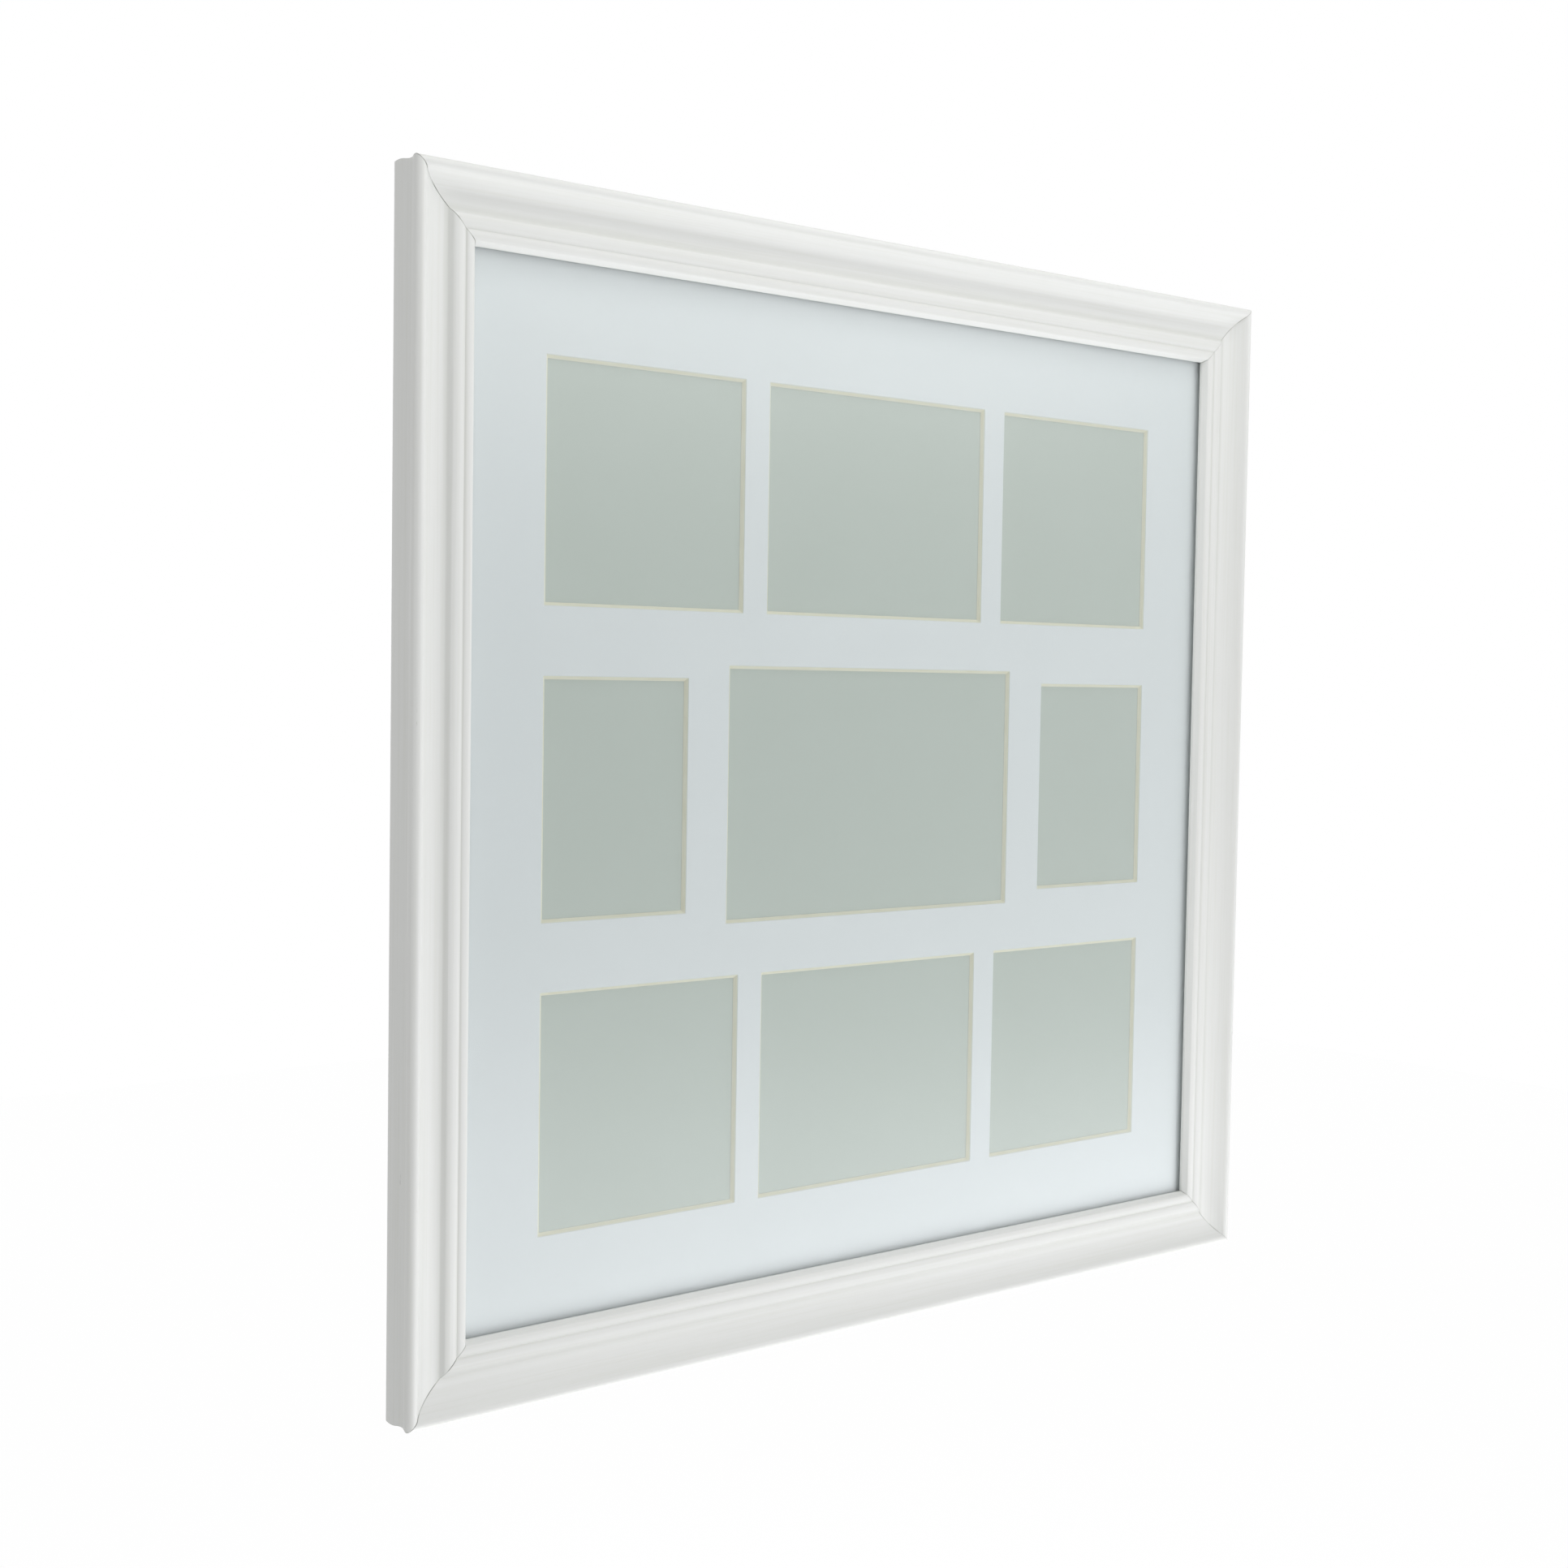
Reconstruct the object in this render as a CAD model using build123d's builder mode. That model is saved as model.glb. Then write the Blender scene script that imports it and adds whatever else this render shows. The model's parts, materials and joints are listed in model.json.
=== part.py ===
"""Square wall frame for nine photographs: mitred moulding, glazed picture pack and turn-button back.

Millimetres. +X is to the right and +Z is up as the frame hangs, and it faces -Y.
The origin is the middle of the frame's outer box.
"""

import os
from math import atan2, cos, degrees, radians, sin, sqrt

from build123d import *

os.makedirs("parts", exist_ok=True)

# Picture pack, from the glass in front to the board behind
sight_size = 389.0
glass_thickness = 2.0
mount_thickness = 1.5
insert_thickness = 0.3
board_thickness = 2.5
board_recess = 2.0
pack_clearance = 2.0
glass_arris = 0.3

# Mount: visible openings, the card that shows round them, and the bars of card between them
square_window_width = 89.0
narrow_window_width = 63.0
row_window_height = 88.0
side_border = 33.8
end_border = 34.1
outer_row_bar = 14.55
middle_row_bar = 22.4
row_bar = 23.25
narrow_row_bar = 28.4
window_bevel_angle = 45.0

# Moulding section: widths, in order out from the sight edge
lip_bevel_width = 1.3
inner_bead_width = 3.7
outer_bead_width = 5.0
flank_width = 1.2
scoop_foot_width = 1.8
face_width = 26.7
lip_width = 6.5
back_wall_thickness = 5.2
side_cove_depth = 0.65
side_back_set = 0.25

# Moulding section: heights in front of the seat that the glass lies on
lip_thickness = 1.3
lip_bevel_rise = 3.85
inner_bead_rise = 4.35
groove_rise = 4.0
outer_bead_rise = 4.7
ridge_rise = 4.2
scoop_rise = 3.0
crest_rise = 8.9
nose_radius = 2.1

# Moulding section: heights in front of the back, on the outer side
side_roll_height = 4.0
side_cove_height = 10.8
land_step = 0.15

# Corner nails: bent steel strips across each mitre
nail_leg = 5.0
nail_thickness = 0.5
nail_height = 7.0
nail_sink = 0.2
nail_apex_places = (12.0, 18.5)

# Turn buttons and their screws
button_spread = 115.0
button_pivot_out = 12.5
button_round = 4.5
button_tip_radius = 2.5
button_reach = 15.0
button_thickness = 0.9
button_play = 0.05
button_edge = 0.2
screw_radius = 1.5
screw_depth = 7.0
screw_tip_length = 2.0
screw_head_radius = 2.8
screw_head_height = 1.3
screw_head_round = 0.7
recess_length = 2.8
recess_width = 0.7
recess_depth = 0.8

# Hangers: a riveted plate with a bridge, and a wire ring whose bar turns under the bridge
hanger_inset = 14.0
plate_height = 12.0
plate_thickness = 0.7
plate_corner = 3.0
bridge_end_gap = 2.0
wire_radius = 0.9
ring_half_width = 8.5
ring_length = 18.0
ring_corner = 2.0
ring_lift = 0.3
ring_side_gap = 2.3
rivet_inset = 5.5
rivet_radius = 1.5
rivet_head_radius = 2.8
rivet_head_height = 0.9
rivet_head_round = 0.5
rivet_tail_radius = 2.3

# Clearances, and how far a rail is drawn past its mitres before it is cut
running_clearance = 0.08
hole_clearance = 0.05
flush_clearance = 0.05
cut_overrun = 1.0

# Levels in front of the rails' backs, worked out from the pack
board_front = board_recess + board_thickness
insert_front = board_front + insert_thickness
mount_front = insert_front + mount_thickness
seat_height = mount_front + glass_thickness
frame_depth = seat_height + crest_rise
land_height = board_recess - land_step

# The hanger stands behind the rails, so the outer box is deeper than the moulding
ring_axis_rise = plate_thickness + ring_lift + wire_radius
bridge_radius = wire_radius + running_clearance + plate_thickness
hanger_proud = ring_axis_rise + bridge_radius - board_recess
back_y = (frame_depth + hanger_proud) / 2 - hanger_proud

# The plate's bridge fits between the ring's bends, and its rivets stand clear of the ring
bridge_width = 2 * (ring_half_width - ring_corner - bridge_end_gap)
rivet_spacing = 2 * (ring_half_width + wire_radius + ring_side_gap + rivet_head_radius)
plate_length = rivet_spacing + 2 * rivet_inset

# Places across the frame
sight_edge = sight_size / 2
outer_edge = sight_edge + face_width
rebate_size = sight_size + 2 * lip_width
pack_size = rebate_size - pack_clearance
pack_drop = pack_clearance / 2

# Windows: each size that has no name of its own is what the borders, the bars and the others leave
wide_window_width = sight_size - 2 * (side_border + square_window_width + outer_row_bar)
centre_window_width = sight_size - 2 * (side_border + narrow_window_width + middle_row_bar)
centre_window_height = sight_size - 2 * (end_border + row_window_height + row_bar)
narrow_window_height = sight_size - 2 * (end_border + row_window_height + narrow_row_bar)
column_spacing = sight_edge - side_border - square_window_width / 2
narrow_column_spacing = sight_edge - side_border - narrow_window_width / 2
row_spacing = sight_edge - end_border - row_window_height / 2

# Each side's turn from the top, with the names of its two buttons
sides = {
    "top": (0, ("top_left", "top_right")),
    "right": (90, ("right_upper", "right_lower")),
    "bottom": (180, ("bottom_right", "bottom_left")),
    "left": (270, ("left_lower", "left_upper")),
}


def pack_plane(height):
    """A plane that faces forward at a height in front of the rails' backs, in the middle of the pack."""
    return Plane((0, back_y - height, -pack_drop), x_dir=(1, 0, 0), z_dir=(0, -1, 0))


def back_plane(turn, out, along, height):
    """A plane that faces the wall: x runs out from the frame's middle, y runs along that side."""
    outward = Vector(sin(radians(turn)), 0, cos(radians(turn)))
    onward = Vector(cos(radians(turn)), 0, -sin(radians(turn)))
    origin = outward * out + onward * along + Vector(0, back_y - height, 0)
    return Plane(origin, x_dir=outward, z_dir=(0, 1, 0))


def section_plane(turn):
    """The moulding's section plane at the middle of a side: x out from the sight edge, y forward."""
    face = back_plane(turn, sight_edge, 0, 0)
    return Plane(face.origin, x_dir=face.x_dir, z_dir=face.y_dir)


def mitre_plane(turn, end):
    """The plane of one end's mitre. Its normal points away from the rail."""
    corner = back_plane(turn, sight_edge, end * sight_edge, 0)
    return Plane(corner.origin, x_dir=(0, 1, 0), z_dir=corner.y_dir * end - corner.x_dir)


def save(builder, name):
    """Labels a finished piece and writes its file."""
    builder.part.label = name
    export_step(builder.part, f"parts/{name}.step")


# Places along the moulding's face, out from the sight edge
groove_place = lip_bevel_width + inner_bead_width
ridge_place = groove_place + outer_bead_width
foot_place = ridge_place + flank_width

# The scoop's arc meets the nose's arc in one tangent line, which sets its radius
nose_centre = Vector(face_width - nose_radius, frame_depth - nose_radius)
scoop_bottom = Vector(foot_place + scoop_foot_width, seat_height + scoop_rise)
nose_lift = nose_centre.Y - scoop_bottom.Y
nose_offset = nose_centre.X - scoop_bottom.X
scoop_radius = (nose_offset**2 + nose_lift**2 - nose_radius**2) / (2 * (nose_lift + nose_radius))
scoop_centre = Vector(scoop_bottom.X, scoop_bottom.Y + scoop_radius)
scoop_end_angle = degrees(atan2(nose_centre.Y - scoop_centre.Y, nose_centre.X - scoop_centre.X))
foot_height = scoop_centre.Y - sqrt(scoop_radius**2 - scoop_foot_width**2)
scoop_start_angle = degrees(atan2(foot_height - scoop_centre.Y, -scoop_foot_width))

# The moulding's section: x out from the sight edge, y forward from the back
bevel_top = (lip_bevel_width, seat_height + lip_bevel_rise)
inner_crown = (lip_bevel_width + inner_bead_width / 2, seat_height + inner_bead_rise)
groove = (groove_place, seat_height + groove_rise)
outer_crown = (groove_place + outer_bead_width / 2, seat_height + outer_bead_rise)
ridge = (ridge_place, seat_height + ridge_rise)
wall_out = face_width - side_back_set
wall_in = face_width - back_wall_thickness
with BuildSketch() as moulding_section:
    with BuildLine():
        CenterArc(scoop_centre, scoop_radius, scoop_start_angle, scoop_end_angle - scoop_start_angle)
        CenterArc(nose_centre, nose_radius, 0, 180 + scoop_end_angle)
        Spline(
            (face_width, nose_centre.Y),
            (face_width - side_cove_depth, side_cove_height),
            (face_width, side_roll_height),
            (wall_out, 0),
            tangents=((0, -1), (0, -1), (0, -1), (-side_back_set, -side_roll_height)),
        )
        Polyline(
            (wall_out, 0),
            (wall_in, 0),
            (wall_in, land_height),
            (lip_width, land_height),
            (lip_width, seat_height),
            (0, seat_height),
            (0, seat_height + lip_thickness),
            bevel_top,
        )
        ThreePointArc(bevel_top, inner_crown, groove)
        ThreePointArc(groove, outer_crown, ridge)
        Line(ridge, (foot_place, foot_height))
    make_face()

# Corner nails: the legs of each run along the two rails that it holds together
with BuildPart() as corner_v_nails:
    for turn, _ in sides.values():
        for apex in nail_apex_places:
            place = sight_edge + apex
            with BuildSketch(back_plane(turn, place, place, land_height + nail_sink)):
                Rectangle(nail_thickness, nail_leg, align=(Align.MAX, Align.MAX))
                Rectangle(nail_leg, nail_thickness, align=(Align.MAX, Align.MAX))
            extrude(amount=-nail_height)
save(corner_v_nails, "corner_v_nails")

# Rails: one moulding, cut to length with a mitre at each end
for side, (turn, _) in sides.items():
    with BuildPart() as rail:
        with BuildSketch(section_plane(turn)):
            add(moulding_section.sketch)
        extrude(amount=outer_edge + cut_overrun, both=True)
        for end in (-1, 1):
            split(bisect_by=mitre_plane(turn, end), keep=Keep.BOTTOM)
            pivot = back_plane(turn, sight_edge + button_pivot_out, end * button_spread, land_height)
            with BuildSketch(pivot):
                Circle(screw_radius + hole_clearance)
            extrude(amount=-(screw_depth + flush_clearance), mode=Mode.SUBTRACT)
        add(corner_v_nails.part, mode=Mode.SUBTRACT)
    save(rail, f"rail_{side}")

# Glass: a plain sheet with its arrises taken off
with BuildPart() as glass_sheet:
    with BuildSketch(pack_plane(mount_front)):
        Rectangle(pack_size, pack_size)
    extrude(amount=glass_thickness)
    chamfer(glass_sheet.edges().filter_by(Axis.Y, reverse=True), glass_arris)
save(glass_sheet, "glass_sheet")

# Windows as (across, up, width, height), two outer rows and then the middle one
windows = [
    (across * column_spacing, up * row_spacing, width, row_window_height)
    for up in (-1, 1)
    for across, width in ((-1, square_window_width), (0, wide_window_width), (1, square_window_width))
]
windows += [
    (across * narrow_column_spacing, 0, narrow_window_width, narrow_window_height) for across in (-1, 1)
]
windows += [(0, 0, centre_window_width, centre_window_height)]

# Mount: every window is cut with a bevel that opens towards the glass
with BuildPart() as mount_board:
    with BuildSketch(pack_plane(insert_front)):
        Rectangle(pack_size, pack_size)
    extrude(amount=mount_thickness)
    with BuildSketch(pack_plane(insert_front)):
        for across, up, width, height in windows:
            with Locations((across, up)):
                Rectangle(width, height)
    extrude(amount=mount_thickness, taper=-window_bevel_angle, mode=Mode.SUBTRACT)
save(mount_board, "mount_board")

# Insert: one sheet of paper behind all the windows
with BuildPart() as insert_sheet:
    with BuildSketch(pack_plane(board_front)):
        Rectangle(pack_size, pack_size)
    extrude(amount=insert_thickness)
save(insert_sheet, "insert_sheet")

# Hangers: one by the board's top edge, and one by its side edge to hang the frame turned.
# Each has its turn from the top and that edge's distance from the middle of the frame.
hangers = {
    "top": (0, pack_size / 2 - pack_drop),
    "side": (90, pack_size / 2),
}
hanger_middle = {name: edge - hanger_inset for name, (_, edge) in hangers.items()}


def rivet_planes(height):
    """The planes of all rivets, at a height in front of the rails' backs."""
    return [
        back_plane(turn, hanger_middle[name], end * rivet_spacing / 2, height)
        for name, (turn, _) in hangers.items()
        for end in (-1, 1)
    ]


# Backing board: countersunk in front, so that the rivets' tails leave the insert flat
with BuildPart() as backing_board:
    with BuildSketch(pack_plane(board_recess)):
        Rectangle(pack_size, pack_size)
    extrude(amount=board_thickness)
    with Locations(*[Location(plane.origin, (90, 0, 0)) for plane in rivet_planes(board_front)]):
        CounterSinkHole(
            radius=rivet_radius + hole_clearance,
            counter_sink_radius=rivet_tail_radius + hole_clearance + flush_clearance,
            depth=board_thickness,
            counter_sink_angle=90,
        )
save(backing_board, "backing_board")

# One rivet: head behind the plate, tail spread flush in the board's front
with BuildPart() as rivet:
    tail_start = board_thickness - flush_clearance
    with BuildSketch(Plane.XZ):
        with BuildLine():
            Polyline(
                (0, -plate_thickness - tail_start),
                (rivet_tail_radius, -plate_thickness - tail_start),
                (rivet_radius, -plate_thickness - tail_start + rivet_tail_radius - rivet_radius),
                (rivet_radius, 0),
                (rivet_head_radius, 0),
                (rivet_head_radius, rivet_head_height),
                (0, rivet_head_height),
                close=True,
            )
        make_face()
    revolve(axis=Axis.Z)
    fillet(rivet.faces().sort_by(Axis.Z)[-1].edges(), rivet_head_round)

with BuildPart() as hanger_rivets:
    with Locations(*[plane.location for plane in rivet_planes(board_recess - plate_thickness)]):
        add(rivet.part)
save(hanger_rivets, "hanger_rivets")

# Hanger plates and their rings
for name, (turn, _) in hangers.items():
    foot = back_plane(turn, hanger_middle[name], 0, board_recess)
    with BuildPart() as hanger_plate:
        with BuildSketch(foot):
            RectangleRounded(plate_height, plate_length, plate_corner)
            with Locations(*[(0, end * rivet_spacing / 2) for end in (-1, 1)]):
                Circle(rivet_radius + hole_clearance, mode=Mode.SUBTRACT)
        extrude(amount=plate_thickness)
        with BuildSketch(Plane(foot.origin, x_dir=foot.x_dir, z_dir=-foot.y_dir)):
            with Locations((0, ring_axis_rise)):
                Circle(bridge_radius)
                Rectangle(2 * bridge_radius, ring_axis_rise, align=(Align.CENTER, Align.MAX))
                Circle(wire_radius + running_clearance, mode=Mode.SUBTRACT)
                Rectangle(
                    2 * (wire_radius + running_clearance),
                    ring_axis_rise - plate_thickness,
                    align=(Align.CENTER, Align.MAX),
                    mode=Mode.SUBTRACT,
                )
        extrude(amount=bridge_width / 2, both=True)
    save(hanger_plate, f"hanger_plate_{name}")

    bar = back_plane(turn, hanger_middle[name], 0, board_recess - ring_axis_rise)
    with BuildPart() as hanger_ring:
        with BuildLine(bar):
            bar_half = Line((0, 0), (0, ring_half_width - ring_corner))
            bend = TangentArc(bar_half @ 1, (-ring_corner, ring_half_width), tangent=bar_half % 1)
            arm = Line(bend @ 1, (ring_half_width - ring_length, ring_half_width))
            TangentArc(arm @ 1, (-ring_length, 0), tangent=arm % 1)
        with BuildSketch(Plane(bar.origin, z_dir=bar.y_dir)):
            Circle(wire_radius)
        sweep()
        mirror(about=Plane(bar.origin, z_dir=bar.y_dir))
    save(hanger_ring, f"hanger_ring_{name}")

# One screw: its head's underside is at the origin and its shank points down
with BuildPart() as screw:
    with BuildSketch(Plane.XZ):
        with BuildLine():
            Polyline(
                (0, -screw_depth - button_thickness),
                (screw_radius, screw_tip_length - screw_depth - button_thickness),
                (screw_radius, 0),
                (screw_head_radius, 0),
                (screw_head_radius, screw_head_height),
                (0, screw_head_height),
                close=True,
            )
        make_face()
    revolve(axis=Axis.Z)
    fillet(screw.faces().sort_by(Axis.Z)[-1].edges(), screw_head_round)
    with BuildSketch(Plane.XY.offset(screw_head_height)):
        Rectangle(recess_length, recess_width)
        Rectangle(recess_width, recess_length)
    extrude(amount=-recess_depth, mode=Mode.SUBTRACT)

# Turn buttons, each pointing inwards over the board, and the screws that they turn on
button_level = land_height - button_play
screw_places = []
for turn, names in sides.values():
    for end, name in zip((-1, 1), names):
        pivot = back_plane(turn, sight_edge + button_pivot_out, end * button_spread, button_level)
        screw_places.append(pivot.offset(button_thickness + button_play).location)
        with BuildPart() as turn_button:
            with BuildSketch(pivot):
                Circle(button_round)
                with Locations((button_tip_radius - button_reach, 0)):
                    Circle(button_tip_radius)
                make_hull()
                Circle(screw_radius + running_clearance, mode=Mode.SUBTRACT)
            extrude(amount=button_thickness)
            rim = turn_button.faces().sort_by(Axis.Y)[-1].outer_wire()
            fillet(rim.edges(), button_edge)
        save(turn_button, f"turn_button_{name}")

with BuildPart() as button_screws:
    with Locations(*screw_places):
        add(screw.part)
save(button_screws, "button_screws")

print(f"outer size {2 * outer_edge:.1f}, depth {frame_depth:.2f}, with hangers {frame_depth + hanger_proud:.2f}")
print(f"back plane at y {back_y:.3f}, mount front at y {back_y - mount_front:.3f}")
print(f"scoop radius {scoop_radius:.2f}, ring axis at y {back_y - board_recess + ring_axis_rise:.3f}")
reach_to_wall = face_width - back_wall_thickness - button_pivot_out
wall_cosine = (button_tip_radius - reach_to_wall) / (button_reach - button_tip_radius)
print(f"a button's tip meets the outer wall at {degrees(atan2(sqrt(1 - wall_cosine**2), wall_cosine)):.1f} degrees")
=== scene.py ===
# %% [markdown]
# # A collage photo frame, dressed in Blender
# The construction model gives every piece of the frame its place: four mitred rails, the clear front
# sheet, the mount with nine windows, the insert behind it and the fittings at the back. This script
# gives them finer edges and their finishes, and sets up the camera, the lamps and the floor.
#
# The first cell loads that model, which is in metres.

import json
from math import acos, asin, atan2, cos, degrees, pi, radians, sin, sqrt

import bmesh
import bpy
from mathutils import Euler, Matrix, Vector

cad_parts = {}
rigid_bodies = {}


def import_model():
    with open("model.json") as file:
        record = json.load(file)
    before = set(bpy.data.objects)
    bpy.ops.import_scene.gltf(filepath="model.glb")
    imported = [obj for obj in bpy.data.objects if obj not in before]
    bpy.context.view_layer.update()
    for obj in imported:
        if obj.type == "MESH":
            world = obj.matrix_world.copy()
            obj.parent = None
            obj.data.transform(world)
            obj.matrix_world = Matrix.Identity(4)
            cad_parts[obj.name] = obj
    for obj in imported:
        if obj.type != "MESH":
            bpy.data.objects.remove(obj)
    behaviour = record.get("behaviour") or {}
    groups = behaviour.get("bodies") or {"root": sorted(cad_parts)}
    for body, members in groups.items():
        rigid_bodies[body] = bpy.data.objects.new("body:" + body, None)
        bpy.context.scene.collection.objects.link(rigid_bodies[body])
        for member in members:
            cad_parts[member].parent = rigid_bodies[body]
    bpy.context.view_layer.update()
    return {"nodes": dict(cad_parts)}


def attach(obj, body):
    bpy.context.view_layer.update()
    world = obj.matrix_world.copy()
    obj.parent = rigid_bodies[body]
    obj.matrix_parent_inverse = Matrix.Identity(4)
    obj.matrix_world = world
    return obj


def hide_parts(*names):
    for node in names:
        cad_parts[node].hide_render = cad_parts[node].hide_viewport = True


for leftover in list(bpy.data.objects):
    bpy.data.objects.remove(leftover)
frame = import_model()
mm = 0.001

# %% [markdown]
# ## The camera
# The photograph was taken from the frame's left, about 41 degrees off its front, and from a little
# above its middle. A camera in Blender looks along its own -Z, so the first angle tips it up to the
# horizon and the last one turns it. The lens is the one at which the frame's far side shrinks as much
# as it does in the photograph.

# %% Camera
camera_data = bpy.data.cameras.new("camera")
camera_data.sensor_width = 36.0
camera_data.lens = 49.185
camera = bpy.data.objects.new("camera", camera_data)
camera.location = (-0.58506, -0.66186, 0.04438)
camera.rotation_euler = Euler((radians(87.209), radians(-0.907), radians(-38.922)))
bpy.context.scene.collection.objects.link(camera)
bpy.context.scene.camera = camera
print("camera is", round(camera.location.length, 3), "m from the frame's middle")

# %% [markdown]
# ## The backdrop
# The photograph has a plain white background. The world is white where the camera, a reflection or a
# clear sheet looks straight at it, and at a plainer level where it only gives light. Light Path tells
# the two apart.

# %% World
scene = bpy.context.scene
scene.view_settings.view_transform = "Standard"
world_light = 0.415
world = bpy.data.worlds.new("studio")
scene.world = world
world.use_nodes = True
sky = world.node_tree.nodes
background = sky["Background"]
background.inputs["Color"].default_value = (1.0, 1.0, 1.0, 1.0)
path = sky.new("ShaderNodeLightPath")
seen = sky.new("ShaderNodeMath")
seen.operation = "MAXIMUM"
seen_through = sky.new("ShaderNodeMath")
seen_through.operation = "MAXIMUM"
level = sky.new("ShaderNodeMapRange")
level.inputs["To Min"].default_value = world_light
links = world.node_tree.links
links.new(path.outputs["Is Camera Ray"], seen.inputs[0])
links.new(path.outputs["Is Glossy Ray"], seen.inputs[1])
links.new(seen.outputs[0], seen_through.inputs[0])
links.new(path.outputs["Is Transmission Ray"], seen_through.inputs[1])
links.new(seen_through.outputs[0], level.inputs["Value"])
links.new(level.outputs["Result"], background.inputs["Strength"])
print("world light:", world_light)

# %% [markdown]
# ## The lamps
# Soft panels light the frame as a small light tent would. Two stand above it and two below: one of
# each pair is nearly in the frame's own plane and grazes the moulding, so that the beads and the slopes
# of the hollow catch it, and the other stands further forward. A faint panel at the right and one in
# the frame's plane at the left light the uprights. Two more stand where the front sheet mirrors them,
# faintly, over the lowest and the highest windows, and a panel behind only lights the back. Each is an
# area lamp: its brightness times its area times pi gives its power.

# %% Lamps
panels = {
    "panel_above": ((0.0, -0.16, 0.55), (1.0, 0.25), 0.85, (1.0, 1.0, 0.99)),
    "panel_above_front": ((0.0, -0.30, 0.52), (1.0, 0.35), 1.00, (1.0, 1.0, 0.99)),
    "panel_below": ((0.0, -0.10, -1.20), (1.4, 0.2), 7.90, (1.0, 1.0, 1.0)),
    "panel_below_front": ((0.1, -0.38, -0.50), (1.0, 0.35), 1.45, (1.0, 1.0, 1.0)),
    "panel_right": ((0.75, -0.45, 0.0), (0.4, 0.8), 0.10, (1.0, 1.0, 0.98)),
    "panel_mirrored_low": ((0.72, -0.86, -0.50), (1.9, 0.34), 1.70, (1.0, 1.0, 1.05)),
    "panel_mirrored_high": ((0.72, -1.10, 0.50), (0.9, 0.38), 1.90, (1.0, 1.0, 1.0)),
    "panel_left": ((-0.90, -0.06, 0.0), (0.3, 0.6), 1.20, (1.0, 1.0, 0.99)),
    "panel_back": ((0.3, 1.8, 0.6), (1.6, 1.6), 0.50, (1.0, 1.0, 1.0)),
}
for name, (place, size, brightness, tint) in panels.items():
    lamp_data = bpy.data.lights.new(name, "AREA")
    lamp_data.shape = "RECTANGLE"
    lamp_data.size, lamp_data.size_y = size
    lamp_data.energy = brightness * size[0] * size[1] * pi
    lamp_data.color = tint
    lamp = bpy.data.objects.new(name, lamp_data)
    lamp.location = place
    lamp.rotation_euler = (-Vector(place)).to_track_quat("-Z", "Y").to_euler()
    lamp.visible_camera = False
    scene.collection.objects.link(lamp)
print(len(panels), "panels")

# %% [markdown]
# ## A few words for shader maths
# A finish is a material with one surface shader. To keep its maths readable, one small class wraps a
# value inside the material, so that adding, subtracting or multiplying values adds the Math nodes for
# it. Every other node comes from one method of the finish.

# %% Shader helpers
class Value:
    """A number on its way through a finish."""

    def __init__(self, finish, socket):
        self.finish = finish
        self.socket = socket

    def maths(self, operation, *values):
        found = self.finish.node("ShaderNodeMath", {"operation": operation}, dict(enumerate(values)))
        return Value(self.finish, found.outputs[0])

    def __add__(self, other):
        return self.maths("ADD", self, other)

    def __sub__(self, other):
        return self.maths("SUBTRACT", self, other)

    def __rsub__(self, other):
        return self.maths("SUBTRACT", other, self)

    def __mul__(self, other):
        return self.maths("MULTIPLY", self, other)

    def __abs__(self):
        return self.maths("ABSOLUTE", self)

    def most(self, other):
        return self.maths("MAXIMUM", self, other)

    def over(self, other):
        return self.maths("GREATER_THAN", self, other)

    def between(self, low, high, start=0.0, end=1.0):
        """Eases from start to end while the value goes from low to high."""
        inputs = {"Value": self, "From Min": low, "From Max": high, "To Min": start, "To Max": end}
        found = self.finish.node("ShaderNodeMapRange", {"interpolation_type": "SMOOTHSTEP"}, inputs)
        return Value(self.finish, found.outputs["Result"])


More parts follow.
